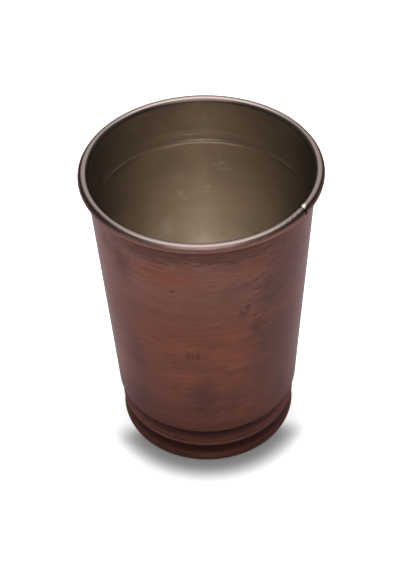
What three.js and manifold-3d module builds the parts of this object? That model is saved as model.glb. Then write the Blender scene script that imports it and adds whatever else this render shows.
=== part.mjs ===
// Copper tumbler: a tapered wall of sheet copper with two swaged beads at its foot and a lip
// rolled outwards round a wire, a bottom disc trapped in the upper bead, and a tin lining.
// Millimetres, +Z up. The origin is on the axis, on the surface that the tumbler stands on.

import * as THREE from 'three';
import { mergeVertices } from 'three/addons/utils/BufferGeometryUtils.js';
import Module from 'manifold-3d';

const { degToRad } = THREE.MathUtils;

// Whole tumbler
const overallHeight = 112.5;
const rimDiameter = 80;
const footDiameter = 63.8;

// Copper sheet. Bend radii are those of the sheet's centre line.
const sheetThickness = 0.6;
const beadSpacing = 7.9;
const beadBend = 1.4;
const grooveDepth = 1.2;
const shoulderBend = 1.2;
const shoulderStep = 0.9;
const standingRingWidth = 1.4;

// Rolled lip and the wire in it
const wireDiameter = 1.8;
const wireJointWidth = 0.4;
const lipGap = 0.2;

// Side seam, a butt joint at this angle from +X
const seamAngle = degToRad(-36.5);
const seamWidth = 0.8;

// Bottom disc and the solder above it
const baseThickness = 0.8;
const solderTipAngle = degToRad(12);

// Tin lining, with the ridge that runs round it below the rim
const tinThickness = 0.2;
const tinLipAngle = degToRad(60);
const ridgeDepth = 17.5;
const ridgeWidth = 1.2;
const ridgeHeight = 0.25;

// Space left between pieces that fit together
const fitClearance = 0.05;

// Smoothness of the round shapes: steps in a turn, and how far a chord may stray from its bend
const turnSteps = 40;
const chordError = 0.04;
const weldDistance = 1e-4;

// The rolled lip: the sheet bends round the wire, and the tin lies over the top of it.
const halfSheet = sheetThickness / 2;
const lipBend = wireDiameter / 2 + fitClearance + halfSheet;
const lipOuter = lipBend + halfSheet;
const lipCentre = new THREE.Vector2(
  rimDiameter / 2 - lipOuter,
  overallHeight - lipOuter - fitClearance - tinThickness,
);

// The foot: beads and grooves are arcs that run into each other, so the depth of a groove and
// the spacing of the beads give the groove's bend and the slope of its sides.
const beadCrest = footDiameter / 2 - halfSheet;
const grooveFloor = beadCrest - grooveDepth;
const halfSpacing = beadSpacing / 2;
const bendSum = (halfSpacing ** 2 + grooveDepth ** 2) / (2 * grooveDepth);
const grooveBend = bendSum - beadBend;
const flankAngle = Math.asin(halfSpacing / bendSum);
const beadCentre = beadCrest - beadBend;
const grooveCentre = grooveFloor + grooveBend;
const lowerBeadHeight = halfSheet + beadBend;
const lowerGrooveHeight = lowerBeadHeight + halfSpacing;
const upperBeadHeight = lowerBeadHeight + beadSpacing;
const upperGrooveHeight = upperBeadHeight + halfSpacing;

// The shoulder above the upper groove, where the straight wall starts a step outside the beads
const shoulderCrest = beadCrest + shoulderStep;
const shoulderDepth = grooveDepth + shoulderStep;
const shoulderSum = grooveBend + shoulderBend;
const shoulderRise = Math.sqrt(2 * shoulderSum * shoulderDepth - shoulderDepth ** 2);
const shoulderAngle = Math.asin(shoulderRise / shoulderSum);
const shoulderCentre = new THREE.Vector2(shoulderCrest - shoulderBend, upperGrooveHeight + shoulderRise);

// The straight wall touches the shoulder's outside and the rolled lip's inside.
const wallSpan = lipCentre.clone().sub(shoulderCentre);
const wallLean = Math.atan2(wallSpan.x, wallSpan.y)
  - Math.asin((shoulderBend + lipBend) / wallSpan.length());

// The lip stops short of the wall that it is rolled towards.
const lipEnd = -wallLean - Math.acos((lipGap + halfSheet - lipBend) / lipOuter);

// The bends of the sheet, from the foot up to the lip
const lowerBead = bend(beadCentre, lowerBeadHeight, beadBend, -Math.PI / 2, flankAngle);
const lowerGroove = bend(
  grooveCentre, lowerGrooveHeight, grooveBend, Math.PI + flankAngle, Math.PI - flankAngle);
const upperBead = bend(beadCentre, upperBeadHeight, beadBend, -flankAngle, flankAngle);
const upperGroove = bend(
  grooveCentre, upperGrooveHeight, grooveBend, Math.PI + flankAngle, Math.PI - shoulderAngle);
const shoulder = bend(
  shoulderCentre.x, shoulderCentre.y, shoulderBend, -shoulderAngle, -wallLean);
const lip = bend(lipCentre.x, lipCentre.y, lipBend, Math.PI - wallLean, lipEnd);

// The bottom disc stops under the flank of the upper groove.
const flankFace = beadBend - halfSheet;
const baseRadius = beadCentre + flankFace * Math.cos(flankAngle) - fitClearance;
const baseTop = upperBeadHeight + flankFace * Math.sin(flankAngle) - fitClearance;

// The inside of the upper groove is the narrowest ring that the lining goes down through.
const throatRadius = grooveFloor - halfSheet - fitClearance;

function bend(radius, height, bendRadius, from, to) {
  return { radius, height, bendRadius, from, to };
}

// Points along a circular arc in radius and height
function arcPoints(radius, height, arcRadius, from, to) {
  const step = 2 * Math.acos(1 - chordError / arcRadius);
  const arc = new THREE.ArcCurve(radius, height, arcRadius, from, to, to < from);
  return arc.getPoints(Math.ceil(Math.abs(to - from) / step));
}

// Points along one face of the bent sheet, at an offset from its centre line towards the outside.
function sheetFace(bends, offset) {
  return bends.flatMap(({ radius, height, bendRadius, from, to }) => {
    const faceBend = bendRadius + Math.sign(to - from) * offset;
    return arcPoints(radius, height, faceBend, from, to);
  });
}

// Turns a closed outline, given counterclockwise in radius and height, about the Z axis.
function turned(outline) {
  const loop = outline.filter((point, i) => i === 0 || point.distanceTo(outline[i - 1]) > weldDistance);
  const onAxis = loop[0].x === 0;
  const profile = onAxis ? loop : [...loop, loop[0]];
  return new THREE.LatheGeometry(profile, turnSteps).rotateX(Math.PI / 2);
}

const wasm = await Module();
wasm.setup();

function solidFrom(geometry) {
  const bare = geometry.clone();
  bare.deleteAttribute('normal');
  bare.deleteAttribute('uv');
  const welded = mergeVertices(bare, weldDistance);
  const triangles = [];
  for (let i = 0; i < welded.index.count; i += 3) {
    const corners = [welded.index.getX(i), welded.index.getX(i + 1), welded.index.getX(i + 2)];
    if (new Set(corners).size === 3) triangles.push(...corners);
  }
  return new wasm.Manifold(new wasm.Mesh({
    numProp: 3,
    vertProperties: welded.attributes.position.array,
    triVerts: Uint32Array.from(triangles),
  }));
}

function geometryFrom(solid) {
  const mesh = solid.getMesh();
  const geometry = new THREE.BufferGeometry();
  geometry.setAttribute('position', new THREE.BufferAttribute(mesh.vertProperties, 3));
  geometry.setIndex(new THREE.BufferAttribute(mesh.triVerts, 1));
  geometry.computeVertexNormals();
  return geometry;
}

// A radial slab on one side of the axis, from the hollow of the foot to beyond the rim
function radialSlab(angle, width, bottom, top) {
  const inner = beadCentre / 2;
  const outer = rimDiameter / 2 + lipOuter;
  const slab = new THREE.BoxGeometry(outer - inner, width, top - bottom);
  slab.translate((outer + inner) / 2, 0, (top + bottom) / 2);
  return solidFrom(slab.rotateZ(angle));
}

// The whole ring of the sheet, before the seam is opened in it
function sheetRing() {
  const bends = [lowerBead, lowerGroove, upperBead, upperGroove, shoulder, lip];
  const ringEdge = beadCentre - standingRingWidth;
  return solidFrom(turned([
    new THREE.Vector2(ringEdge, 0),
    ...sheetFace(bends, halfSheet),
    ...sheetFace(bends, -halfSheet).reverse(),
    new THREE.Vector2(ringEdge, sheetThickness),
  ]));
}

function copperWall() {
  const seam = radialSlab(seamAngle, seamWidth, -sheetThickness, overallHeight + sheetThickness);
  return geometryFrom(sheetRing().subtract(seam));
}

// The braze ends below the rolled lip, so the seam stays open across the lip.
function sideSeam() {
  const top = lipCentre.y - lipOuter - fitClearance;
  const filled = radialSlab(seamAngle, seamWidth - 2 * fitClearance, -sheetThickness, top);
  return geometryFrom(sheetRing().intersect(filled));
}

// The wire's ends meet on the far side from the seam.
function rimWire() {
  const section = arcPoints(lipCentre.x, lipCentre.y, wireDiameter / 2, 0, 2 * Math.PI);
  const ring = solidFrom(turned(section.slice(0, -1)));
  const joint = radialSlab(
    seamAngle + Math.PI, wireJointWidth, lipCentre.y - lipOuter, lipCentre.y + lipOuter);
  return geometryFrom(ring.subtract(joint));
}

function baseDisc() {
  const bottom = baseTop - baseThickness;
  return turned([
    new THREE.Vector2(0, bottom),
    new THREE.Vector2(baseRadius, bottom),
    new THREE.Vector2(baseRadius, baseTop),
    new THREE.Vector2(0, baseTop),
  ]);
}

// The solder fills the corner between the disc and the flank of the upper groove.
function baseSolder() {
  const bottom = baseTop + fitClearance;
  const backOffset = halfSheet + fitClearance;
  const start = Math.PI + Math.asin((upperGrooveHeight - bottom) / (grooveBend + backOffset));
  const flank = bend(
    grooveCentre, upperGrooveHeight, grooveBend, start, Math.PI + solderTipAngle);
  const back = sheetFace([flank], -backOffset);
  const tip = back[back.length - 1];
  return turned([
    new THREE.Vector2(throatRadius, bottom),
    ...back,
    new THREE.Vector2(throatRadius, tip.y),
  ]);
}

// The lining follows the inner face of the wall from the throat to the top of the rolled lip.
function tinLining() {
  const throat = bend(
    grooveCentre, upperGrooveHeight, grooveBend, Math.PI, Math.PI - shoulderAngle);
  const overLip = bend(lipCentre.x, lipCentre.y, lipBend, Math.PI - wallLean, tinLipAngle);
  const backOffset = halfSheet + fitClearance;
  const faceOffset = backOffset + tinThickness;
  const floorBack = baseTop + fitClearance;
  const floorFace = floorBack + tinThickness;

  const shoulderFace = sheetFace([throat, shoulder], -faceOffset);
  const wallStart = shoulderFace[shoulderFace.length - 1];
  const ridgeAt = (height, proud) => new THREE.Vector2(
    wallStart.x + (height - wallStart.y) * Math.tan(wallLean) - proud, height);
  const ridgeHeightUp = overallHeight - ridgeDepth;
  const face = [
    new THREE.Vector2(0, floorFace),
    new THREE.Vector2(throatRadius - tinThickness, floorFace),
    ...shoulderFace,
    ridgeAt(ridgeHeightUp - ridgeWidth / 2, 0),
    ridgeAt(ridgeHeightUp, ridgeHeight),
    ridgeAt(ridgeHeightUp + ridgeWidth / 2, 0),
    ...sheetFace([overLip], -faceOffset),
  ];
  const back = [
    new THREE.Vector2(0, floorBack),
    new THREE.Vector2(throatRadius, floorBack),
    ...sheetFace([throat, shoulder, overLip], -backOffset),
  ];
  const cup = solidFrom(turned([...back, ...face.reverse()]));
  const notch = radialSlab(seamAngle, seamWidth, lipCentre.y, overallHeight + tinThickness);
  return geometryFrom(cup.subtract(notch));
}

function piece(name, geometry, color, roughness) {
  const material = new THREE.MeshStandardMaterial({ color, roughness, metalness: 1 });
  const mesh = new THREE.Mesh(geometry, material);
  mesh.name = name;
  return mesh;
}

const tumbler = new THREE.Group();
tumbler.add(
  piece('copper_wall', copperWall(), 0x6e4a40, 0.42),
  piece('side_seam', sideSeam(), 0x7a5a3c, 0.45),
  piece('rim_wire', rimWire(), 0x9a6a52, 0.4),
  piece('base_disc', baseDisc(), 0x75483a, 0.45),
  piece('base_solder', baseSolder(), 0x9a958c, 0.5),
  piece('tin_lining', tinLining(), 0x9c9080, 0.38),
);

export default tumbler;
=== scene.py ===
"""Copper tumbler: the finished wall, seam, rim wire, bottom, solder and tin lining, on a plain stage.

Lengths are metres, +Z is up, and the tumbler stands on the origin with its axis along Z.
"""

import math

import bpy
from bpy.props import FloatProperty, FloatVectorProperty, IntProperty, PointerProperty
from mathutils import Matrix, Vector


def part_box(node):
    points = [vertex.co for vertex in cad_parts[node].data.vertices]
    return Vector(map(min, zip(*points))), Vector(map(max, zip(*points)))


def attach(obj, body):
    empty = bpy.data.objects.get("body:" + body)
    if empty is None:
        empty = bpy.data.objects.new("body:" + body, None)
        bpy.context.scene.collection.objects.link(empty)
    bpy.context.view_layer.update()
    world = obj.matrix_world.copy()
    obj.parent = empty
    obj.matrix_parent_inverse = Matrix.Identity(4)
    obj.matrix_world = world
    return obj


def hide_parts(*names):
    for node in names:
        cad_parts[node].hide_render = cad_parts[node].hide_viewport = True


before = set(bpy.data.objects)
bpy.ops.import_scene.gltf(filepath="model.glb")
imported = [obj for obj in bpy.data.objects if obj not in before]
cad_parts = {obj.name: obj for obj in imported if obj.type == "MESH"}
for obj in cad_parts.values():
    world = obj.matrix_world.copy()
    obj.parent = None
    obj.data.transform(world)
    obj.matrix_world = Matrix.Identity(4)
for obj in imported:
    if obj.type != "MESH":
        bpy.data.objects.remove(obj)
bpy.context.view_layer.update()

bl_info = {
    "name": "Copper Tumbler",
    "version": (1, 0, 0),
    "blender": (4, 5, 0),
    "location": "View3D > Sidebar > Tumbler",
    "description": "Models a tin-lined copper tumbler piece by piece and sets its stage",
    "category": "Add Mesh",
}

MM = 0.001
BODY = "root"
IMAGE_HEIGHT = 570
SENSOR = 36.0
WHITE = (1.0, 1.0, 1.0)
FULL_TURN = 2 * math.pi
FACING_FRONT = -1.0
FACING_BACK = 1.0
WELD = 1e-7
RIDGE_STEPS = 6
SEAM_STEPS = 2
SMOOTH_ANGLE = math.radians(40)
WALL_LOW, WALL_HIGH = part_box("copper_wall")
TIN_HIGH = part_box("tin_lining")[1]

# Glows of the sky: where each lies, and how nearly a ray points there where it starts and is full
BACK_DIRECTION = (0.07, 0.797, 0.6)
BACK_LOW = 0.82
BACK_HIGH = 0.95
FRONT_DIRECTION = (0.0, -0.71, 0.71)
FRONT_LOW = 0.80
FRONT_HIGH = 0.97

# The ends of the lip beside the seam: how far down and along they are lifted or rippled
LIFT_FADE = 6 * MM
LIFT_ROUND = 0.8 * MM
LIFT_REACH = 2.6 * MM
RIPPLE_REACH = 6 * MM
LEAST_LIFT = 0.01

# Where the tin ridge starts to fade and is flat, round from the back
FADE_START = math.radians(48)
FADE_END = math.radians(76)

# Marks on the wall, each with degrees round from the front, height, half width and half height in mm
RUBBED_MARKS = (
    (12, 68, 7, 5), (-19, 95.5, 12, 5.5), (-13, 62.5, 13, 5), (10, 59, 11, 6), (17, 54, 5, 5),
    (-12, 47, 9, 4), (14, 44, 8, 5), (20, 26, 7, 7), (28, 98, 5, 5), (53, 70, 5, 4), (-62, 38, 3, 9),
    (112, 44, 8, 7), (150, 72, 10, 5), (-140, 88, 9, 6), (-108, 58, 6, 8), (-152, 34, 9, 5),
)
STAIN_MARKS = (
    (37, 82, 7, 10), (28.5, 69, 3, 5), (42, 60, 8, 12), (49, 31, 6, 10), (-45, 27, 7, 9),
    (-58, 99, 4, 5), (0, 105.5, 36, 2.5), (95, 82, 8, 10), (128, 28, 9, 8), (148, 96, 12, 6),
    (-120, 30, 8, 9),
)
DUSKY_MARKS = (
    (47, 92, 15, 26), (46, 56, 14, 26), (24, 104.5, 20, 5), (44, 103, 12, 7), (-26, 104.5, 18, 4),
    (-46, 95, 4.5, 8), (-2, 36, 6, 10), (-44, 52, 5, 12), (140, 60, 22, 24), (-100, 86, 16, 18),
)
NICK_MARKS = (
    (-10.5, 59, 1.0, 2.8), (-7.9, 59.2, 0.7, 2.2), (-5, 59.6, 0.9, 3.0), (18.5, 78.6, 0.9, 2.2),
    (20.5, 77.2, 0.9, 1.4), (22.3, 79.4, 0.9, 2.6), (26.5, 75, 0.9, 0.9), (29, 72.5, 1.3, 0.9),
    (27.5, 69, 1.2, 1.9), (33.5, 69.5, 0.8, 0.7), (-17, 89.6, 1.3, 0.7), (-19, 40, 1.5, 0.8),
    (98, 66, 0.9, 2.6), (164, 50, 1.4, 0.9), (-132, 72, 0.9, 2.2),
)

# Marks on the tin, with degrees round from the back: wiped marks, and painted highlights where the
# brushed tin's reflection streaks down the far wall
WIPE_AND_HIGHLIGHT_MARKS = (
    (-24, 58, 3.2, 6), (2, 50, 8, 5), (12, 86, 1.7, 1.0), (9, 84.8, 1.2, 0.7), (3.5, 75, 1.3, 0.9),
    (-13, 73, 1.4, 1.6), (-10, 70.5, 1.0, 0.8), (42, 105, 0.3, 1.5), (14, 83.5, 3, 0.5),
    (-4, 98, 7, 0.4), (-160, 70, 3, 5), (120, 62, 4, 6), (-95, 84, 2, 3),
)

# How strongly each kind of mark shows in its middle, and where it has faded, in radii of its oval
RUBBED_SHARE = 0.9
STAIN_SHARE = 0.85
DUSKY_SHARE = 0.8
NICK_SHARE = 0.65
WIPE_AND_HIGHLIGHT_SHARE = 0.75
MARK_FADE = 1.4

# Grain of the noise in each finish, in features per metre along X, Y and Z
STREAK_GRAIN = (170.0, 170.0, 2600.0)
BAND_GRAIN = (30.0, 30.0, 420.0)
BAND_OFFSET = (1.3, 0.7, 2.1)
WALL_EDGE_GRAIN = (260.0, 260.0, 900.0)
RUBBED_GRAIN = (38.0, 38.0, 30.0)
STAIN_GRAIN = (26.0, 26.0, 22.0)
STAIN_OFFSET = (3.1, 1.7, 0.4)
CLOUD_GRAIN = (70.0, 70.0, 90.0)
LINE_GRAIN = (25.0, 25.0, 1300.0)
TIN_EDGE_GRAIN = (400.0, 400.0, 400.0)
SPECK_GRAIN = (700.0, 700.0, 900.0)
RING_GRAIN = (0.0, 0.0, 900.0)
DISC_WEAR_GRAIN = (60.0, 60.0, 60.0)
MOTTLE_GRAIN = (400.0, 400.0, 400.0)

# What noise turns into: two limits of the noise, and the values at them
STREAK_SHADE = (0.25, 0.75, 0.72, 1.28)
STREAK_ROUGHNESS = (0.3, 0.7, 0.31, 0.43)
BAND_SHADE = (0.3, 0.7, 0.94, 1.06)
WALL_EDGE_RAGGED = (0.2, 0.8, -0.45, 0.45)
RUBBED_PLACES = (0.5, 0.75, 0.0, 0.5)
STAINED_PLACES = (0.52, 0.78, 0.0, 0.6)
CLOUD_SHADE = (0.3, 0.7, 0.92, 1.05)
LINE_SHADE = (0.3, 0.7, 0.97, 1.03)
LINE_ROUGHNESS = (0.3, 0.7, 0.28, 0.32)
TIN_EDGE_RAGGED = (0.2, 0.8, -0.4, 0.4)
SPECK_PLACES = (0.70, 0.78, 0.0, 0.6)
RING_SHADE = (0.25, 0.75, 0.75, 1.25)
RING_ROUGHNESS = (0.3, 0.7, 0.38, 0.5)
DISC_WEAR = (0.4, 0.7, 0.0, 1.0)
MOTTLE_SHADE = (0.3, 0.7, 0.85, 1.1)

# Where a finish changes: two heights, places along Y or distances, and the values at them
# Paler upper wall: painted light
UPPER_WALL_LIGHT = (66 * MM, 94 * MM, 0.0, 1.0)
# Darker towards the foot: painted shade, standing in for the shadowed floor that the low wall reflects
LOW_WALL_SHADE = (18 * MM, 62 * MM, 0.86, 1.0)
# Paler tin low in the cup: painted light, standing in for light bounced off the bottom
DEEP_TIN_LIGHT = (60 * MM, 104 * MM, 1.0, 0.0)
# Front of the cup, where the underside of the lip carries a painted reflection of the floor
FRONT_SIDE = (-34 * MM, -22 * MM, 1.0, 0.3)
# Front of the lip: rubbed copper and a painted highlight
FRONT_LIP = (-34 * MM, -22 * MM, 0.9, 0.0)
SEAM_SHINE = (0.4 * MM, 1.3 * MM, 1.0, 0.0)

# The same, from the height of the shoulder or upper groove, or from the foot's radius
BELOW_SHOULDER = (0.0, 0.5 * MM, 1.0, 0.0)
BELOW_GROOVE = (-0.5 * MM, 0.0, 1.0, 0.0)
# Foot grooves: dark patina and painted shade
HOLLOWS = (-1.1 * MM, -0.6 * MM, 1.0, 0.0)
# Bead crests: painted highlight
CRESTS = (-0.35 * MM, -0.05 * MM, 0.0, 0.5)

# The same, from the height or radius of the lip's centre, or from the bottom disc
# Crease under the lip: a painted shadow line
LIP_TUCK_SHADE = (-4.6 * MM, -3.9 * MM, 0.0, 0.8)
UNDER_LIP = (-1.7 * MM, -1.2 * MM, 0.0, 1.0)
OUTER_LIP = (0.35 * MM, 0.75 * MM, 0.0, 1.0)
# Inner turn of the lip: painted shade
TURN_OF_TIN = (0.0, 0.5 * MM, 0.0, 1.0)
TOP_OF_RIM = (1.0 * MM, 1.5 * MM, 0.0, 1.0)
OUTER_RIM = (-0.8 * MM, 0.8 * MM, 0.0, 1.0)
CUP_FLOOR = (0.0, 4 * MM, 1.0, 0.0)

# The painted highlight on the lifted end of the lip: how far along from the seam, and in from the lip's
# centre
SHINE_AWAY = 1.3 * MM
SHINE_IN = 0.4 * MM

# Brushed sheen, strength and height of the bumps, and roughness
COPPER_BRUSHED = 0.4
TIN_BRUSHED = 0.6
BRUSHED_TURN = 0.25
STREAK_BUMP = (0.15, 0.05 * MM)
LINE_BUMP = (0.05, 0.05 * MM)
RING_BUMP = (0.3, 0.1 * MM)
TIN_METALLIC = 0.95
FLOOR_ROUGHER = 0.25
RIM_SMOOTHER = 0.10
WIRE_ROUGHNESS = 0.4
SOLDER_ROUGHNESS = 0.5

# Sockets of a mix node by the kind of its values: both values, and the result
MIX_SOCKETS = {"FLOAT": (2, 3, 0), "RGBA": (6, 7, 2)}


def number(name, description, default):
    return FloatProperty(name=name, description=description, default=default)


def length(name, description, default):
    return FloatProperty(name=name, description=description, default=default, unit="LENGTH")


def angle(name, description, degrees):
    return FloatProperty(
        name=name, description=description, default=math.radians(degrees), subtype="ANGLE")


def colour(name, description, default):
    return FloatVectorProperty(
        name=name, description=description, default=default, subtype="COLOR", min=0.0, max=1.0)


class TumblerSizes(bpy.types.PropertyGroup):
    """Sizes of the tumbler's pieces"""
    rim_diameter: length("Rim", "Across the rolled rim", WALL_HIGH.x - WALL_LOW.x)
    height: length("Height", "From the table to the top of the rim", TIN_HIGH.z)
    foot_diameter: length("Foot", "Across the foot beads", 63.8 * MM)
    sheet: length("Sheet", "Thickness of the copper sheet", 0.6 * MM)
    bead_spacing: length("Bead spacing", "Height between the crests of the foot beads", 7.9 * MM)
    bead_bend: length("Bead bend", "Centre-line radius of a foot bead", 1.4 * MM)
    groove_depth: length("Groove depth", "Depth of the foot grooves", 1.2 * MM)
    shoulder_bend: length("Shoulder bend", "Centre-line radius above the upper groove", 1.2 * MM)
    shoulder_step: length("Shoulder step", "How far the wall stands outside the foot beads", 0.9 * MM)
    standing_ring: length("Standing ring", "Width of the turned-in lower edge", 1.4 * MM)
    wire: length("Wire", "Diameter of the rim wire", 1.8 * MM)
    wire_joint: length("Wire joint", "Gap where the wire's ends meet", 0.4 * MM)
    lip_gap: length("Lip gap", "Space between the rolled edge and the wall", 0.2 * MM)
    seam_slit: length("Seam slit", "Width of the slit in the tin where the lip's ends meet", 0.35 * MM)
    seam_lift: length("Seam lift", "How far the lip stands up beside the slit", 0.4 * MM)
    seam_ripple: length("Seam ripple", "Height of the hammered ripples beside the slit", 0.15 * MM)
    ripple_pitch: length("Ripple pitch", "Length of one hammered ripple", 2.4 * MM)
    seam_angle: angle("Seam", "Direction of the side seam from +X", -36.5)
    base: length("Bottom", "Thickness of the bottom disc", 0.8 * MM)
    tin: length("Tin", "Thickness of the tin lining", 0.2 * MM)
    tin_lip: angle("Tin edge", "Where the tin ends on the rolled lip, above the horizontal", 52.0)
    ridge_depth: length("Ridge depth", "Depth of the tin ridge below the rim", 17.5 * MM)
    ridge_width: length("Ridge width", "Width of the tin ridge", 2.2 * MM)
    ridge_height: length("Ridge height", "How far the tin ridge stands proud", 0.25 * MM)
    faint_depth: length("Faint ridge depth", "Depth of the fainter ridge below the rim", 12.6 * MM)
    faint_height: length("Faint ridge height", "How far the fainter ridge stands proud", 0.05 * MM)
    clearance: length("Clearance", "Space between pieces that fit together", 0.05 * MM)
    turn_steps: IntProperty(name="Turn steps", description="Faces in one turn", default=300)
    bend_step: angle("Bend step", "Turn of the sheet from point to point", 8.0)
    wall_step: length("Wall step", "Spacing of points up the straight wall", 2.0 * MM)


class TumblerFinish(bpy.types.PropertyGroup):
    """Colours of the tumbler's finishes"""
    patina: colour("Patina", "Brown copper patina", (0.150, 0.058, 0.043))
    # Paler patina: painted light on the upper wall, and a painted highlight along the bead crests
    lit_patina: colour("Pale patina", "Patina of the upper wall", (0.185, 0.084, 0.067))
    red_copper: colour("Red copper", "Where the patina is rubbed thin", (0.205, 0.069, 0.048))
    dark_patina: colour("Dark patina", "Patina in stains", (0.098, 0.049, 0.038))
    dusky_patina: colour("Dusky patina", "Duller patina in broad patches", (0.090, 0.043, 0.036))
    # Dark patina and painted shade in the foot grooves, also the painted shadow line under the lip
    hollow_patina_and_shade: colour("Groove patina", "Patina in the grooves of the foot", (0.078, 0.031, 0.027))
    lip_patina: colour("Lip patina", "Dark patina on the outer side of the lip", (0.180, 0.100, 0.088))
    # Rubbed copper and a painted highlight on the outer side of the lip, at the front
    rubbed_lip_and_highlight: colour("Rubbed lip", "Copper rubbed on the front of the lip", (0.420, 0.265, 0.235))
    # Painted reflection of the floor on the underside of the lip, at the front
    lip_floor_reflection: colour("Lip copper", "Copper rubbed bright under the lip", (0.220, 0.100, 0.075))
    nick: colour("Nick", "Dark red nicks in the patina", (0.080, 0.030, 0.025))
    edge_sheen: colour("Edge sheen", "Sheen of the copper seen along its surface", (0.78, 0.70, 0.73))
    braze: colour("Braze", "Patinated seam braze", (0.150, 0.062, 0.044))
    wire_copper: colour("Wire", "Drawn copper wire", (0.500, 0.300, 0.220))
    # Tin paler low in the cup and darker near the rim: painted light and shade
    tin: colour("Tin", "Aged tin low in the cup", (0.822, 0.742, 0.646))
    upper_tin: colour("Upper tin", "Duller tin near the rim", (0.668, 0.575, 0.487))
    # Wiped marks, and painted highlight streaks on the far wall
    wiped_tin_and_highlight: colour("Wiped tin", "Brighter marks in the tin", (1.000, 0.955, 0.890))
    # Painted shade where the wall turns into the rim
    turned_tin_shade: colour("Turned tin", "Tin where the wall turns into the rim", (0.215, 0.172, 0.142))
    rim_tin: colour("Rim tin", "Tin on the inner side of the rim", (0.300, 0.245, 0.225))
    worn_tin: colour("Worn tin", "Tin worn thin on the outer side of the rim", (0.260, 0.200, 0.183))
    tin_edge: colour("Tin edge tone", "Tone of the tin seen along its surface", (0.20, 0.15, 0.11))
    solder: colour("Solder", "Dull solder", (0.380, 0.360, 0.330))


class TumblerStage(bpy.types.PropertyGroup):
    """Camera, floor and light"""
    camera_back: length("Camera back", "Distance of the camera in front of the axis", 316.72 * MM)
    camera_up: length("Camera up", "Height of the camera above the floor", 362.12 * MM)
    camera_tilt: angle("Tilt", "How far the camera looks down", 43.748)
    camera_pan: angle("Pan", "How far the camera looks to the right", -0.304)
    camera_roll: angle("Roll", "How far the camera leans", -2.074)
    focal_pixels: number("Focal length", "In pixels of the image", 1245.5)
    floor_size: length("Floor", "Width of the floor", 8.0)
    floor_colour: colour("Floor colour", "Pale floor", (0.90, 0.90, 0.90))
    lamp_size: length("Lamp size", "Width of the soft lamp", 0.3)
    lamp_height: length("Lamp height", "Height of the soft lamp", 1.3)
    lamp_back: length("Lamp back", "How far the lamp stands behind the axis", 0.04)
    lamp_power: number("Lamp power", "Watts", 13.0)
    sky_lean: number("Sky lean", "Lean of the overhead light to the back", 0.15)
    sky_low: number("Sky low", "Where the overhead light starts", 0.80)
    sky_high: number("Sky high", "Where the overhead light is full", 1.0)
    sky_light: number("Sky light", "Strength overhead", 3.0)
    back_light: number("Back light", "Strength of the glow at the back", 1.2)
    front_light: number("Front light", "Strength of the glow at the front", 1.2)
    sky_dark: number("Sky dark", "Strength at the sides", 0.08)
    sky_fill: number("Sky fill", "Share of the sky's light on dull surfaces", 0.25)
    floor_glow: number("Floor glow", "White that the floor adds to what is seen of it", 0.115)
    white_start: length("White start", "Distance from the axis where the floor pales", 31 * MM)
    white_end: length("White end", "Distance from the axis where the floor is white", 46 * MM)
    shadow_front: length("Shadow front", "How far in front of the axis the shadow is whole", 22 * MM)
    shadow_back: length("Shadow back", "How far in front of the axis the shadow has faded", 9 * MM)
    white_glow: number("White glow", "White that the far floor adds to what the camera sees", 0.8)


# Outline of the copper sheet


class SheetLine:
    """The bends of the copper sheet in radius and height, from the foot up to the rolled lip"""

    def __init__(self, sizes):
        half = sizes.sheet / 2
        self.half = half
        self.clearance = sizes.clearance
        self.lip_bend = sizes.wire / 2 + sizes.clearance + half
        self.lip_outer = self.lip_bend + half
        self.lip_radius = sizes.rim_diameter / 2 - self.lip_outer
        self.lip_height = sizes.height - self.lip_outer - sizes.clearance - sizes.tin
        self.mark_radius = (sizes.rim_diameter + sizes.foot_diameter) / 4 + sizes.shoulder_step / 2

        crest = sizes.foot_diameter / 2 - half
        floor = crest - sizes.groove_depth
        rise = sizes.bead_spacing / 2
        bend_sum = (rise ** 2 + sizes.groove_depth ** 2) / (2 * sizes.groove_depth)
        groove_bend = bend_sum - sizes.bead_bend
        flank = math.asin(rise / bend_sum)
        self.bead_radius = crest - sizes.bead_bend
        groove_radius = floor + groove_bend
        lower_bead = half + sizes.bead_bend
        upper_bead = lower_bead + sizes.bead_spacing
        upper_groove = self.groove_height = upper_bead + rise

        shoulder_crest = crest + sizes.shoulder_step
        shoulder_depth = sizes.groove_depth + sizes.shoulder_step
        shoulder_sum = groove_bend + sizes.shoulder_bend
        shoulder_rise = math.sqrt(2 * shoulder_sum * shoulder_depth - shoulder_depth ** 2)
        shoulder_angle = math.asin(shoulder_rise / shoulder_sum)
        shoulder_radius = shoulder_crest - sizes.shoulder_bend
        shoulder_height = self.shoulder_height = upper_groove + shoulder_rise

        span = Vector((self.lip_radius - shoulder_radius, self.lip_height - shoulder_height))
        self.lean = (math.atan2(span.x, span.y)
                     - math.asin((sizes.shoulder_bend + self.lip_bend) / span.length))
        lip_end = -self.lean - math.acos((sizes.lip_gap + half - self.lip_bend) / self.lip_outer)

        self.ring_edge = self.bead_radius - sizes.standing_ring
        self.throat_radius = floor - half - sizes.clearance
        face = sizes.bead_bend - half
        self.base_radius = self.bead_radius + face * math.cos(flank) - sizes.clearance
        self.base_top = upper_bead + face * math.sin(flank) - sizes.clearance
        self.foot = [
            (self.bead_radius, lower_bead, sizes.bead_bend, -math.pi / 2, flank),
            (groove_radius, lower_bead + rise, groove_bend, math.pi + flank, math.pi - flank),
            (self.bead_radius, upper_bead, sizes.bead_bend, -flank, flank),
            (groove_radius, upper_groove, groove_bend, math.pi + flank, math.pi),
        ]
        self.throat = [
            (groove_radius, upper_groove, groove_bend, math.pi, math.pi - shoulder_angle),
            (shoulder_radius, shoulder_height, sizes.shoulder_bend, -shoulder_angle, -self.lean),
        ]
        self.lip = (self.lip_radius, self.lip_height, self.lip_bend, math.pi - self.lean, lip_end)


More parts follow.
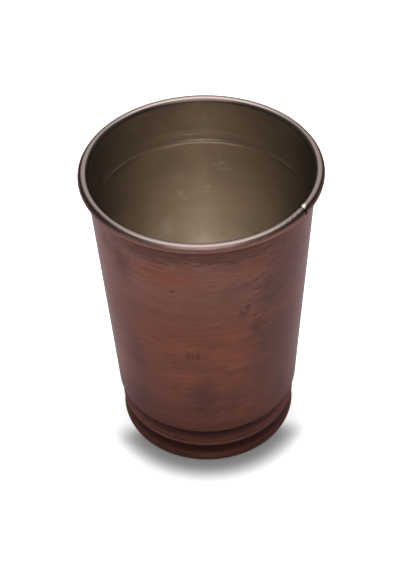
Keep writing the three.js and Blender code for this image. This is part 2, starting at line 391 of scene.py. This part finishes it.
def arc_points(radius, height, bend, start, end, step):
    count = max(1, math.ceil(abs(end - start) / step))
    turns = [start + (end - start) * i / count for i in range(count + 1)]
    return [Vector((radius + bend * math.cos(t), height + bend * math.sin(t))) for t in turns]


def sheet_points(bends, offset, step):
    """Points along the sheet, at an offset from its centre line towards the outside"""
    points = []
    for radius, height, bend, start, end in bends:
        face = bend + math.copysign(1.0, end - start) * offset
        points += arc_points(radius, height, face, start, end, step)
    return points


def low_points(line, sizes):
    """The sheet's centre line from its turned-in lower edge up to the straight wall"""
    return [Vector((line.ring_edge, line.half)),
            *sheet_points(line.foot + line.throat, 0.0, sizes.bend_step)]


def straight_points(start, end, step):
    """Points between two ends of a straight stretch, without the ends"""
    count = max(1, math.ceil((end - start).length / step))
    return [start.lerp(end, i / count) for i in range(1, count)]


# Modelling steps


def deselect_all():
    bpy.ops.object.select_all(action="DESELECT")


def make_active(piece):
    deselect_all()
    piece.select_set(True)
    bpy.context.view_layer.objects.active = piece


def around(point, turn):
    return Vector((point.x * math.cos(turn), point.x * math.sin(turn), point.y))


def spin_outline(name, outline, first_turn, sweep, steps):
    """Draws an outline of radius and height from one vertex and spins it about the Z axis"""
    deselect_all()
    here = around(outline[0], first_turn)
    bpy.ops.mesh.primitive_plane_add(size=MM, location=here)
    piece = bpy.context.object
    piece.name = piece.data.name = name
    bpy.ops.object.transform_apply(location=True)
    bpy.ops.object.mode_set(mode="EDIT")
    bpy.ops.mesh.select_all(action="SELECT")
    bpy.ops.mesh.merge(type="CENTER")
    for point in outline[1:]:
        there = around(point, first_turn)
        if (there - here).length > WELD:
            bpy.ops.mesh.extrude_region_move(TRANSFORM_OT_translate={"value": there - here})
            here = there
    bpy.ops.mesh.select_all(action="SELECT")
    bpy.ops.mesh.spin(
        steps=steps, angle=-sweep, center=(0.0, 0.0, 0.0), axis=(0.0, 0.0, 1.0))
    bpy.ops.mesh.select_all(action="SELECT")
    bpy.ops.mesh.remove_doubles(threshold=WELD)
    bpy.ops.mesh.normals_make_consistent(inside=False)
    bpy.ops.object.mode_set(mode="OBJECT")
    return piece


def apply_modifier(piece, kind, **settings):
    make_active(piece)
    modifier = piece.modifiers.new(kind.title(), kind)
    for key, value in settings.items():
        setattr(modifier, key, value)
    bpy.ops.object.modifier_apply(modifier=modifier.name)


def thicken(piece, sizes):
    apply_modifier(piece, "SOLIDIFY", thickness=sizes.sheet, offset=0.0, use_even_offset=True)


def smooth_step(value):
    share = min(max(value, 0.0), 1.0)
    return share * share * (3.0 - 2.0 * share)


def ridge_shape(share):
    """Height of a rounded ridge, from 0 at half its width either way to 1 in the middle"""
    return math.cos(math.pi * share) ** 2


def displace(piece, weights, direction, strength):
    """Moves the vertices that have a weight, by that share of the strength"""
    group = piece.vertex_groups.new(name="moved")
    for index, weight in weights.items():
        group.add([index], weight, "REPLACE")
    apply_modifier(piece, "DISPLACE", direction=direction, strength=strength, mid_level=0.0,
                   vertex_group=group.name)
    piece.vertex_groups.clear()


def lift_at_seam(piece, sizes, line):
    """Lifts the end of the lip on one side of the seam and ripples it on the other"""
    weights = {}
    edge = sizes.seam_slit / 2
    for vertex in piece.data.vertices:
        place = vertex.co
        near_lip = smooth_step(1.0 - (line.lip_height - place.z) / LIFT_FADE)
        turn = math.remainder(math.atan2(place.y, place.x) - sizes.seam_angle, FULL_TURN)
        away = abs(turn) * line.lip_radius - edge
        if turn > 0:
            share = min(max(away / LIFT_ROUND, 0.0), 1.0) * math.exp(-away / LIFT_REACH)
        else:
            wave = 0.5 - 0.5 * math.cos(FULL_TURN * away / sizes.ripple_pitch)
            share = wave * math.exp(-away / RIPPLE_REACH) * sizes.seam_ripple / sizes.seam_lift
        if near_lip * share > LEAST_LIFT:
            weights[vertex.index] = near_lip * share
    displace(piece, weights, "Z", sizes.seam_lift)


def fade_ridge(piece, sizes):
    """Flattens the tin ridge towards the sides of the cup"""
    weights = {}
    middle = sizes.height - sizes.ridge_depth
    for vertex in piece.data.vertices:
        place = vertex.co
        share = (place.z - middle) / sizes.ridge_width
        if abs(share) < 0.5:
            turn = abs(math.atan2(place.x, place.y))
            flat = smooth_step((turn - FADE_START) / (FADE_END - FADE_START))
            weights[vertex.index] = ridge_shape(share) * flat
    displace(piece, weights, "NORMAL", -sizes.ridge_height)


def cut_slit(piece, sizes, line):
    """Cuts the tin through over the lip, where the ends of the sheet meet"""
    deselect_all()
    middle = around(Vector((line.lip_radius, line.lip_height + line.lip_outer)), sizes.seam_angle)
    bpy.ops.mesh.primitive_cube_add(size=1.0, location=middle, rotation=(0.0, 0.0, sizes.seam_angle))
    cutter = bpy.context.object
    cutter.scale = (4 * line.lip_outer, sizes.seam_slit, 2 * line.lip_outer)
    bpy.ops.object.transform_apply(location=True, rotation=True, scale=True)
    apply_modifier(piece, "BOOLEAN", object=cutter, operation="DIFFERENCE", solver="MANIFOLD")
    bpy.data.meshes.remove(cutter.data)


def finish_piece(piece, material, node):
    """Gives a piece its material and puts it in place of its CAD node"""
    make_active(piece)
    bpy.ops.object.shade_smooth_by_angle(angle=SMOOTH_ANGLE)
    piece.data.materials.clear()
    piece.data.materials.append(material)
    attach(piece, BODY)
    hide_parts(node)


# Finishes


class NodeMaker:
    """Short ways to add nodes to a tree"""

    def __init__(self, tree):
        self.nodes = tree.nodes
        self.links = tree.links

    def feed(self, socket, value):
        if isinstance(value, bpy.types.NodeSocket):
            self.links.new(value, socket)
        elif hasattr(socket.default_value, "__len__"):
            flat = tuple(value)
            socket.default_value = flat + (1.0,) * (len(socket.default_value) - len(flat))
        else:
            socket.default_value = value

    def math(self, operation, a, b=0.0, clamp=False):
        node = self.nodes.new("ShaderNodeMath")
        node.operation = operation
        node.use_clamp = clamp
        self.feed(node.inputs[0], a)
        self.feed(node.inputs[1], b)
        return node.outputs["Value"]

    def vector(self, operation, a, b=(0.0, 0.0, 0.0)):
        node = self.nodes.new("ShaderNodeVectorMath")
        node.operation = operation
        self.feed(node.inputs[0], a)
        self.feed(node.inputs[1], b)
        single = operation in ("LENGTH", "DISTANCE", "DOT_PRODUCT")
        return node.outputs["Value" if single else "Vector"]

    def range(self, value, low, high, to_low=0.0, to_high=1.0):
        """A smooth change from one value to another, between two limits"""
        node = self.nodes.new("ShaderNodeMapRange")
        node.interpolation_type = "SMOOTHSTEP"
        for socket, setting in zip(node.inputs[:5], (value, low, high, to_low, to_high)):
            self.feed(socket, setting)
        return node.outputs["Result"]

    def range_from(self, value, start, low, high, to_low, to_high):
        """The same, with the limits measured from a start"""
        return self.range(value, start + low, start + high, to_low, to_high)

    def mix(self, factor, a, b, kind="RGBA", blend="MIX"):
        node = self.nodes.new("ShaderNodeMix")
        node.data_type = kind
        node.blend_type = blend
        first, second, result = MIX_SOCKETS[kind]
        self.feed(node.inputs["Factor"], factor)
        self.feed(node.inputs[first], a)
        self.feed(node.inputs[second], b)
        return node.outputs[result]


class Finish(NodeMaker):
    """A material, with short ways to add the nodes that make it"""

    def __init__(self, name):
        self.material = bpy.data.materials.new(name)
        self.material.use_nodes = True
        super().__init__(self.material.node_tree)
        self.nodes.clear()
        output = self.nodes.new("ShaderNodeOutputMaterial")
        self.shader = self.nodes.new("ShaderNodeBsdfPrincipled")
        self.links.new(self.shader.outputs["BSDF"], output.inputs["Surface"])
        self.place = self.nodes.new("ShaderNodeTexCoord").outputs["Object"]

    def set(self, **values):
        for key, value in values.items():
            self.feed(self.shader.inputs[key.replace("_", " ").title()], value)

    def noise(self, grain, detail=3.0, roughness=0.55, offset=(0.0, 0.0, 0.0), place=None):
        """Noise with its own grain along X, Y and Z, in features per metre"""
        mapping = self.nodes.new("ShaderNodeMapping")
        mapping.inputs["Scale"].default_value = grain
        mapping.inputs["Location"].default_value = offset
        self.links.new(self.place if place is None else place, mapping.inputs["Vector"])
        node = self.nodes.new("ShaderNodeTexNoise")
        node.inputs["Scale"].default_value = 1.0
        node.inputs["Detail"].default_value = detail
        node.inputs["Roughness"].default_value = roughness
        self.links.new(mapping.outputs["Vector"], node.inputs["Vector"])
        return node.outputs["Fac"]

    def axis(self, name):
        node = self.nodes.new("ShaderNodeSeparateXYZ")
        self.links.new(self.place, node.inputs["Vector"])
        return node.outputs[name]

    def tint(self, colour, shade):
        """A colour, lighter or darker by a shade"""
        node = self.nodes.new("ShaderNodeCombineColor")
        for socket in node.inputs:
            self.feed(socket, shade)
        return self.mix(1.0, colour, node.outputs["Color"], blend="MULTIPLY")

    def reach(self):
        """Distance from the tumbler's axis"""
        return self.vector("LENGTH", self.vector("MULTIPLY", self.place, (1.0, 1.0, 0.0)))

    def skin(self, facing, radius):
        """Distance round the wall from the side that faces this way along Y, and height"""
        turn = self.math("ARCTAN2", self.axis("X"), self.math("MULTIPLY", self.axis("Y"), facing))
        node = self.nodes.new("ShaderNodeCombineXYZ")
        self.feed(node.inputs["X"], self.math("MULTIPLY", turn, radius))
        self.feed(node.inputs["Y"], self.axis("Z"))
        return node.outputs["Vector"]

    def marks(self, skin, radius, marks, ragged, share):
        """A share in the middle of soft ovals on the skin and 0 outside them, with ragged edges"""
        cover = 0.0
        for degrees, height, half_width, half_height in marks:
            mapping = self.nodes.new("ShaderNodeMapping")
            across = 1.0 / (half_width * MM)
            up = 1.0 / (half_height * MM)
            mapping.inputs["Scale"].default_value = (across, up, 1.0)
            mapping.inputs["Location"].default_value = (
                -math.radians(degrees) * radius * across, -height * MM * up, 0.0)
            self.feed(mapping.inputs["Vector"], skin)
            away = self.math("ADD", self.vector("LENGTH", mapping.outputs["Vector"]), ragged)
            cover = self.math("MAXIMUM", cover, self.range(away, 0.0, MARK_FADE, 1.0, 0.0))
        return self.math("MULTIPLY", cover, share)

    def bump(self, height, strength, distance):
        node = self.nodes.new("ShaderNodeBump")
        node.inputs["Strength"].default_value = strength
        node.inputs["Distance"].default_value = distance
        self.links.new(height, node.inputs["Height"])
        self.links.new(node.outputs["Normal"], self.shader.inputs["Normal"])


def copper_finish(name, patina, colours, sizes, line):
    """Brown patina over brushed copper, redder where it is rubbed, with dark patina and painted shade in
    the grooves, painted light on the upper wall and bead crests, painted shade low on the wall and under
    the lip, and a painted reflection and highlight on the front of the lip
    """
    finish = Finish(name)
    radius = line.mark_radius
    foot = sizes.foot_diameter / 2
    height = finish.axis("Z")
    reach = finish.reach()
    skin = finish.skin(FACING_FRONT, radius)
    streaks = finish.noise(STREAK_GRAIN, detail=4.0, roughness=0.7)
    bands = finish.noise(BAND_GRAIN, offset=BAND_OFFSET)
    ragged = finish.range(finish.noise(WALL_EDGE_GRAIN, detail=4.0), *WALL_EDGE_RAGGED)
    pale = finish.range(height, *UPPER_WALL_LIGHT)
    rubbed = finish.range(finish.noise(RUBBED_GRAIN), *RUBBED_PLACES)
    worn = finish.marks(skin, radius, RUBBED_MARKS, ragged, RUBBED_SHARE)
    stained = finish.range(finish.noise(STAIN_GRAIN, offset=STAIN_OFFSET), *STAINED_PLACES)
    dull = finish.marks(skin, radius, STAIN_MARKS, ragged, STAIN_SHARE)
    dusky = finish.marks(skin, radius, DUSKY_MARKS, ragged, DUSKY_SHARE)
    # Paler upper wall: painted light
    base = finish.mix(pale, patina, colours.lit_patina)
    base = finish.mix(finish.math("MAXIMUM", rubbed, worn), base, colours.red_copper)
    base = finish.mix(dusky, base, colours.dusky_patina)
    base = finish.mix(finish.math("MAXIMUM", stained, dull), base, colours.dark_patina)

    # Dark patina and painted shade in the foot grooves
    below = finish.range_from(height, line.shoulder_height, *BELOW_SHOULDER)
    hollow = finish.range_from(reach, foot, *HOLLOWS)
    base = finish.mix(finish.math("MULTIPLY", below, hollow), base, colours.hollow_patina_and_shade)
    # Painted highlight along the bead crests
    beads = finish.range_from(height, line.groove_height, *BELOW_GROOVE)
    crest = finish.range_from(reach, foot, *CRESTS)
    base = finish.mix(finish.math("MULTIPLY", beads, crest), base, colours.lit_patina)
    # Painted shadow line in the crease under the lip
    tuck_shade = finish.range_from(height, line.lip_height, *LIP_TUCK_SHADE)
    base = finish.mix(tuck_shade, base, colours.hollow_patina_and_shade)
    # Painted reflection of the floor under the front of the lip
    under_lip = finish.range_from(height, line.lip_height, *UNDER_LIP)
    front_side = finish.range(finish.axis("Y"), *FRONT_SIDE)
    base = finish.mix(finish.math("MULTIPLY", under_lip, front_side), base, colours.lip_floor_reflection)
    outer_lip = finish.range_from(height, line.lip_height, *OUTER_LIP)
    base = finish.mix(outer_lip, base, colours.lip_patina)
    # Rubbed copper and a painted highlight on the front of the lip
    front_lip = finish.range(finish.axis("Y"), *FRONT_LIP)
    base = finish.mix(finish.math("MULTIPLY", outer_lip, front_lip), base, colours.rubbed_lip_and_highlight)

    nicked = finish.marks(skin, radius, NICK_MARKS, ragged, NICK_SHARE)
    base = finish.mix(nicked, base, colours.nick)
    shade = finish.math(
        "MULTIPLY", finish.range(streaks, *STREAK_SHADE), finish.range(bands, *BAND_SHADE))
    # Painted shade, darker towards the foot
    shade = finish.math("MULTIPLY", shade, finish.range(height, *LOW_WALL_SHADE))
    finish.set(base_color=finish.tint(base, shade), metallic=1.0)
    finish.set(roughness=finish.range(streaks, *STREAK_ROUGHNESS), specular_tint=colours.edge_sheen)
    finish.set(anisotropic=COPPER_BRUSHED, anisotropic_rotation=BRUSHED_TURN)
    finish.bump(streaks, *STREAK_BUMP)
    return finish.material


def tin_finish(name, colours, sizes, line):
    """Aged tin, warm grey with wiped marks and painted highlights, painted light low in the cup, painted
    shade where the wall turns into the lip, duller over the rim and a painted highlight beside the slit
    """
    finish = Finish(name)
    radius = line.mark_radius
    height = finish.axis("Z")
    skin = finish.skin(FACING_BACK, radius)
    lines = finish.noise(LINE_GRAIN, detail=4.0, roughness=0.65)
    cloud = finish.range(finish.noise(CLOUD_GRAIN, detail=4.0), *CLOUD_SHADE)
    cloud = finish.math("MULTIPLY", cloud, finish.range(lines, *LINE_SHADE))
    ragged = finish.range(finish.noise(TIN_EDGE_GRAIN), *TIN_EDGE_RAGGED)
    wiped_and_highlights = finish.marks(skin, radius, WIPE_AND_HIGHLIGHT_MARKS, ragged, WIPE_AND_HIGHLIGHT_SHARE)
    specks = finish.range(finish.noise(SPECK_GRAIN, detail=1.0), *SPECK_PLACES)
    # Painted light, paler low in the cup
    deep_light = finish.range(height, *DEEP_TIN_LIGHT)
    base = finish.tint(finish.mix(deep_light, colours.upper_tin, colours.tin), cloud)
    # Wiped marks and painted highlight streaks
    base = finish.mix(finish.math("MAXIMUM", wiped_and_highlights, specks), base, colours.wiped_tin_and_highlight)

    # Painted shade where the wall turns into the lip
    turned = finish.range_from(height, line.lip_height, *TURN_OF_TIN)
    base = finish.mix(turned, base, colours.turned_tin_shade)
    rim = finish.range_from(height, line.lip_height, *TOP_OF_RIM)
    outward = finish.range_from(finish.reach(), line.lip_radius, *OUTER_RIM)
    base = finish.mix(rim, base, finish.mix(outward, colours.rim_tin, colours.worn_tin))
    # Painted highlight on the lifted end of the lip beside the slit
    proud = around(Vector((line.lip_radius - SHINE_IN, sizes.height)),
                   sizes.seam_angle + SHINE_AWAY / line.lip_radius)
    shine = finish.range(finish.vector("DISTANCE", finish.place, proud), *SEAM_SHINE)
    base = finish.mix(shine, base, colours.upper_tin)

    floor = finish.range_from(height, line.base_top, *CUP_FLOOR)
    rough = finish.math("ADD", finish.range(lines, *LINE_ROUGHNESS),
                        finish.math("MULTIPLY", floor, FLOOR_ROUGHER))
    rough = finish.math("SUBTRACT", rough, finish.math("MULTIPLY", rim, RIM_SMOOTHER))
    finish.set(base_color=base, metallic=TIN_METALLIC, roughness=rough)
    finish.set(specular_tint=colours.tin_edge)
    finish.set(anisotropic=TIN_BRUSHED, anisotropic_rotation=BRUSHED_TURN)
    finish.bump(lines, *LINE_BUMP)
    return finish.material


def bottom_finish(name, colours):
    """Patinated copper with rings turned into it"""
    finish = Finish(name)
    place = finish.nodes.new("ShaderNodeCombineXYZ")
    finish.feed(place.inputs["Z"], finish.reach())
    rings = finish.noise(RING_GRAIN, detail=4.0, roughness=0.65, place=place.outputs["Vector"])
    worn = finish.range(finish.noise(DISC_WEAR_GRAIN), *DISC_WEAR)
    base = finish.mix(worn, colours.dark_patina, colours.patina)
    finish.set(base_color=finish.tint(base, finish.range(rings, *RING_SHADE)), metallic=1.0)
    finish.set(roughness=finish.range(rings, *RING_ROUGHNESS), specular_tint=colours.edge_sheen)
    finish.bump(rings, *RING_BUMP)
    return finish.material


def plain_metal_finish(name, base_colour, roughness):
    """Dull metal with a fine mottle"""
    finish = Finish(name)
    mottle = finish.range(finish.noise(MOTTLE_GRAIN), *MOTTLE_SHADE)
    finish.set(base_color=finish.tint(base_colour, mottle), metallic=1.0, roughness=roughness)
    return finish.material


# Operators, one for each piece and one for the stage


class TUMBLER_OT_wall(bpy.types.Operator):
    """Spins the copper wall with its foot beads and rolled lip"""
    bl_idname = "tumbler.wall"
    bl_label = "Copper wall"

    def execute(self, context):
        sizes = context.scene.tumbler_sizes
        line = SheetLine(sizes)
        low = low_points(line, sizes)
        lip = sheet_points([line.lip], 0.0, sizes.bend_step)
        outline = [*low, *straight_points(low[-1], lip[0], sizes.wall_step), *lip]
        step = FULL_TURN / sizes.turn_steps
        wall = spin_outline(
            "wall_sheet", outline, sizes.seam_angle + step / 2, FULL_TURN - step,
            sizes.turn_steps - 1)
        thicken(wall, sizes)
        lift_at_seam(wall, sizes, line)
        colours = context.scene.tumbler_finish
        material = copper_finish("Patinated copper", colours.patina, colours, sizes, line)
        finish_piece(wall, material, "copper_wall")
        return {"FINISHED"}


class TUMBLER_OT_lining(bpy.types.Operator):
    """Spins the tin lining over the inside and the top of the lip"""
    bl_idname = "tumbler.lining"
    bl_label = "Tin lining"

    def execute(self, context):
        sizes = context.scene.tumbler_sizes
        line = SheetLine(sizes)
        back_offset = line.half + line.clearance
        face_offset = back_offset + sizes.tin
        lip_start = math.pi - line.lean
        floor_back = line.base_top + line.clearance
        floor_face = floor_back + sizes.tin

        throat = sheet_points(line.throat, -face_offset, sizes.bend_step)
        lip = self.lip_face(sizes, line, lip_start)
        wall = self.wall_face(sizes, throat[-1], lip[0])
        corner = Vector((line.throat_radius - sizes.tin, floor_face))
        floor = straight_points(Vector((0.0, floor_face)), corner, sizes.wall_step)
        face = [Vector((0.0, floor_face)), *floor, corner, *throat, *wall, *lip]

        over_lip = (*line.lip[:3], lip_start, sizes.tin_lip)
        back = [Vector((0.0, floor_back)), Vector((line.throat_radius, floor_back)),
                *sheet_points([*line.throat, over_lip], -back_offset, sizes.bend_step)]
        lining = spin_outline(
            "tin_skin", [*back, *reversed(face)], sizes.seam_angle, FULL_TURN,
            sizes.turn_steps)
        fade_ridge(lining, sizes)
        cut_slit(lining, sizes, line)
        lift_at_seam(lining, sizes, line)
        material = tin_finish("Aged tin", context.scene.tumbler_finish, sizes, line)
        finish_piece(lining, material, "tin_lining")
        return {"FINISHED"}

    def lip_face(self, sizes, line, start):
        """The tin thins out to nothing on the outer side of the lip"""
        turns = arc_points(0.0, 0.0, 1.0, start, sizes.tin_lip, sizes.bend_step)
        points = []
        for i, turn in enumerate(turns):
            share = i / (len(turns) - 1)
            reach = line.lip_outer + line.clearance + sizes.tin * (1.0 - share)
            points.append(Vector((line.lip_radius, line.lip_height)) + turn * reach)
        return points

    def wall_face(self, sizes, start, end):
        """The straight wall, with the two rounded ridges that stand proud of it"""
        ridges = ((sizes.ridge_depth, sizes.ridge_height), (sizes.faint_depth, sizes.faint_height))
        middles = [sizes.height - depth for depth, proud in ridges]
        points = [point for point in straight_points(start, end, sizes.wall_step)
                  if all(abs(point.y - middle) > sizes.ridge_width for middle in middles)]
        for middle, (depth, proud) in zip(middles, ridges):
            for i in range(-RIDGE_STEPS, RIDGE_STEPS + 1):
                share = i / (2 * RIDGE_STEPS)
                height = middle + share * sizes.ridge_width
                flat = start.lerp(end, (height - start.y) / (end.y - start.y))
                points.append(flat - Vector((proud * ridge_shape(share), 0.0)))
        return sorted(points, key=lambda point: point.y)


class TUMBLER_OT_seam(bpy.types.Operator):
    """Spins the narrow strip of braze in the side seam"""
    bl_idname = "tumbler.seam"
    bl_label = "Side seam"

    def execute(self, context):
        sizes = context.scene.tumbler_sizes
        line = SheetLine(sizes)
        low = low_points(line, sizes)
        top = line.lip_height - line.lip_outer - line.clearance
        rise = top - low[-1].y
        end = low[-1] + Vector((rise * math.tan(line.lean), rise))
        outline = [*low, *straight_points(low[-1], end, sizes.wall_step), end]
        step = FULL_TURN / sizes.turn_steps
        seam = spin_outline("seam_strip", outline, sizes.seam_angle - step / 2, step, SEAM_STEPS)
        thicken(seam, sizes)
        colours = context.scene.tumbler_finish
        material = copper_finish("Patinated braze", colours.braze, colours, sizes, line)
        finish_piece(seam, material, "side_seam")
        return {"FINISHED"}


class TUMBLER_OT_wire(bpy.types.Operator):
    """Bends the rim wire and opens the joint between its ends"""
    bl_idname = "tumbler.wire"
    bl_label = "Rim wire"

    def execute(self, context):
        sizes = context.scene.tumbler_sizes
        line = SheetLine(sizes)
        section = arc_points(
            line.lip_radius, line.lip_height, sizes.wire / 2, 0.0, FULL_TURN, sizes.bend_step * 2)
        gap = sizes.wire_joint / line.lip_radius
        wire = spin_outline(
            "wire_ring", section, sizes.seam_angle + math.pi + gap / 2, FULL_TURN - gap,
            sizes.turn_steps)
        bpy.ops.object.mode_set(mode="EDIT")
        bpy.ops.mesh.select_all(action="DESELECT")
        bpy.ops.mesh.select_mode(type="EDGE")
        bpy.ops.mesh.select_non_manifold()
        bpy.ops.mesh.edge_face_add()
        bpy.ops.mesh.select_all(action="SELECT")
        bpy.ops.mesh.normals_make_consistent(inside=False)
        bpy.ops.mesh.select_mode(type="VERT")
        bpy.ops.object.mode_set(mode="OBJECT")
        colours = context.scene.tumbler_finish
        material = plain_metal_finish("Drawn copper", colours.wire_copper, WIRE_ROUGHNESS)
        finish_piece(wire, material, "rim_wire")
        return {"FINISHED"}


class TUMBLER_OT_base(bpy.types.Operator):
    """Spins the bottom disc"""
    bl_idname = "tumbler.base"
    bl_label = "Bottom disc"

    def execute(self, context):
        sizes = context.scene.tumbler_sizes
        line = SheetLine(sizes)
        bottom = line.base_top - sizes.base
        corner = sizes.base / 4
        edge = line.base_radius - corner
        step = sizes.bend_step * 2
        under = straight_points(Vector((0.0, bottom)), Vector((edge, bottom)), sizes.wall_step)
        outline = [Vector((0.0, bottom)), *under,
                   *arc_points(edge, bottom + corner, corner, -math.pi / 2, 0.0, step),
                   *arc_points(edge, line.base_top - corner, corner, 0.0, math.pi / 2, step),
                   Vector((0.0, line.base_top))]
        disc = spin_outline("bottom_disc", outline, 0.0, FULL_TURN, sizes.turn_steps)
        material = bottom_finish("Bottom copper", context.scene.tumbler_finish)
        finish_piece(disc, material, "base_disc")
        return {"FINISHED"}


class TUMBLER_OT_solder(bpy.types.Operator):
    """Gives the solder ring its finish"""
    bl_idname = "tumbler.solder"
    bl_label = "Solder ring"

    def execute(self, context):
        colours = context.scene.tumbler_finish
        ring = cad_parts["base_solder"]
        ring.data.materials.clear()
        material = plain_metal_finish("Dull solder", colours.solder, SOLDER_ROUGHNESS)
        ring.data.materials.append(material)
        return {"FINISHED"}


class TUMBLER_OT_stage(bpy.types.Operator):
    """Sets the floor, the lamp, the sky and the camera"""
    bl_idname = "tumbler.stage"
    bl_label = "Stage"

    def execute(self, context):
        scene = context.scene
        stage = scene.tumbler_stage
        scene.view_settings.view_transform = "Standard"
        self.floor(stage)
        self.lamp(stage)
        self.sky(scene, stage)
        self.camera(scene, stage)
        return {"FINISHED"}

    def floor(self, stage):
        deselect_all()
        bpy.ops.mesh.primitive_plane_add(size=stage.floor_size)
        floor = bpy.context.object
        floor.name = floor.data.name = "floor"
        finish = Finish("Pale floor")
        finish.set(base_color=stage.floor_colour, roughness=1.0)
        finish.shader.inputs["Specular IOR Level"].default_value = 0.0
        path = finish.nodes.new("ShaderNodeLightPath").outputs
        mirrored = finish.math("ADD", path["Is Glossy Ray"], path["Is Transmission Ray"], clamp=True)
        away = finish.range(finish.reach(), stage.white_start, stage.white_end)
        beside = finish.range(finish.axis("Y"), -stage.shadow_front, -stage.shadow_back)
        shadow = finish.math("MULTIPLY", finish.math("SUBTRACT", 1.0, away),
                             finish.math("SUBTRACT", 1.0, beside))
        white = finish.range(shadow, 0.0, 1.0, stage.white_glow, stage.floor_glow)
        glow = finish.math("ADD", finish.math("MULTIPLY", path["Is Camera Ray"], white),
                           finish.math("MULTIPLY", mirrored, stage.floor_glow))
        finish.set(emission_color=WHITE, emission_strength=glow)
        floor.data.materials.append(finish.material)

    def lamp(self, stage):
        bpy.ops.object.light_add(type="AREA", location=(0.0, stage.lamp_back, stage.lamp_height))
        lamp = bpy.context.object
        lamp.name = lamp.data.name = "soft_lamp"
        lamp.data.shape = "DISK"
        lamp.data.size = stage.lamp_size
        lamp.data.energy = stage.lamp_power
        lamp.rotation_euler = (-math.atan2(stage.lamp_back, stage.lamp_height), 0.0, 0.0)
        lamp.visible_glossy = False

    def sky(self, scene, stage):
        """White to the camera. Else bright overhead, softer at front and back, dark at the sides"""
        world = bpy.data.worlds.new("Studio")
        scene.world = world
        world.use_nodes = True
        maker = NodeMaker(world.node_tree)
        place = maker.nodes.new("ShaderNodeTexCoord").outputs["Generated"]

        def zone(direction, low, high, dark, light):
            return maker.range(maker.vector("DOT_PRODUCT", place, direction), low, high, dark, light)

        overhead = zone((0.0, stage.sky_lean, 1.0), stage.sky_low, stage.sky_high,
                        stage.sky_dark, stage.sky_light)
        behind = zone(BACK_DIRECTION, BACK_LOW, BACK_HIGH, 0.0, stage.back_light)
        before = zone(FRONT_DIRECTION, FRONT_LOW, FRONT_HIGH, 0.0, stage.front_light)
        dome = maker.math("MAXIMUM", maker.math("MAXIMUM", overhead, behind), before)
        fill = maker.math("MULTIPLY", dome, stage.sky_fill)
        path = maker.nodes.new("ShaderNodeLightPath").outputs
        light = maker.mix(path["Is Glossy Ray"], fill, dome, kind="FLOAT")
        background = maker.nodes["Background"].inputs
        maker.feed(background["Strength"], maker.mix(path["Is Camera Ray"], light, 1.0, kind="FLOAT"))
        maker.feed(background["Color"], WHITE)

    def camera(self, scene, stage):
        data = bpy.data.cameras.new("camera")
        data.sensor_width = SENSOR
        data.lens = SENSOR * stage.focal_pixels / IMAGE_HEIGHT
        camera = bpy.data.objects.new("camera", data)
        scene.collection.objects.link(camera)
        aim = (Matrix.Rotation(-stage.camera_pan, 4, "Z")
               @ Matrix.Rotation(math.pi / 2 - stage.camera_tilt, 4, "X")
               @ Matrix.Rotation(stage.camera_roll, 4, "Z"))
        place = Matrix.Translation((0.0, -stage.camera_back, stage.camera_up))
        camera.matrix_world = place @ aim
        scene.camera = camera


class TUMBLER_PT_panel(bpy.types.Panel):
    """Lists the steps that make the tumbler"""
    bl_idname = "TUMBLER_PT_panel"
    bl_label = "Copper tumbler"
    bl_space_type = "VIEW_3D"
    bl_region_type = "UI"
    bl_category = "Tumbler"

    def draw(self, context):
        for operator in OPERATORS:
            self.layout.operator(operator.bl_idname)
        for group in GROUPS:
            settings = getattr(context.scene, group)
            for key in settings.__annotations__:
                self.layout.prop(settings, key)


OPERATORS = (
    TUMBLER_OT_wall,
    TUMBLER_OT_seam,
    TUMBLER_OT_wire,
    TUMBLER_OT_base,
    TUMBLER_OT_solder,
    TUMBLER_OT_lining,
    TUMBLER_OT_stage,
)
GROUPS = {
    "tumbler_sizes": TumblerSizes,
    "tumbler_finish": TumblerFinish,
    "tumbler_stage": TumblerStage,
}
CLASSES = (*GROUPS.values(), *OPERATORS, TUMBLER_PT_panel)


def register():
    for cls in CLASSES:
        bpy.utils.register_class(cls)
    for name, group in GROUPS.items():
        setattr(bpy.types.Scene, name, PointerProperty(type=group))


def unregister():
    for name in GROUPS:
        delattr(bpy.types.Scene, name)
    for cls in reversed(CLASSES):
        bpy.utils.unregister_class(cls)


def main():
    register()
    bpy.ops.tumbler.wall()
    bpy.ops.tumbler.seam()
    bpy.ops.tumbler.wire()
    bpy.ops.tumbler.base()
    bpy.ops.tumbler.solder()
    bpy.ops.tumbler.lining()
    bpy.ops.tumbler.stage()


if __name__ == "__main__":
    main()
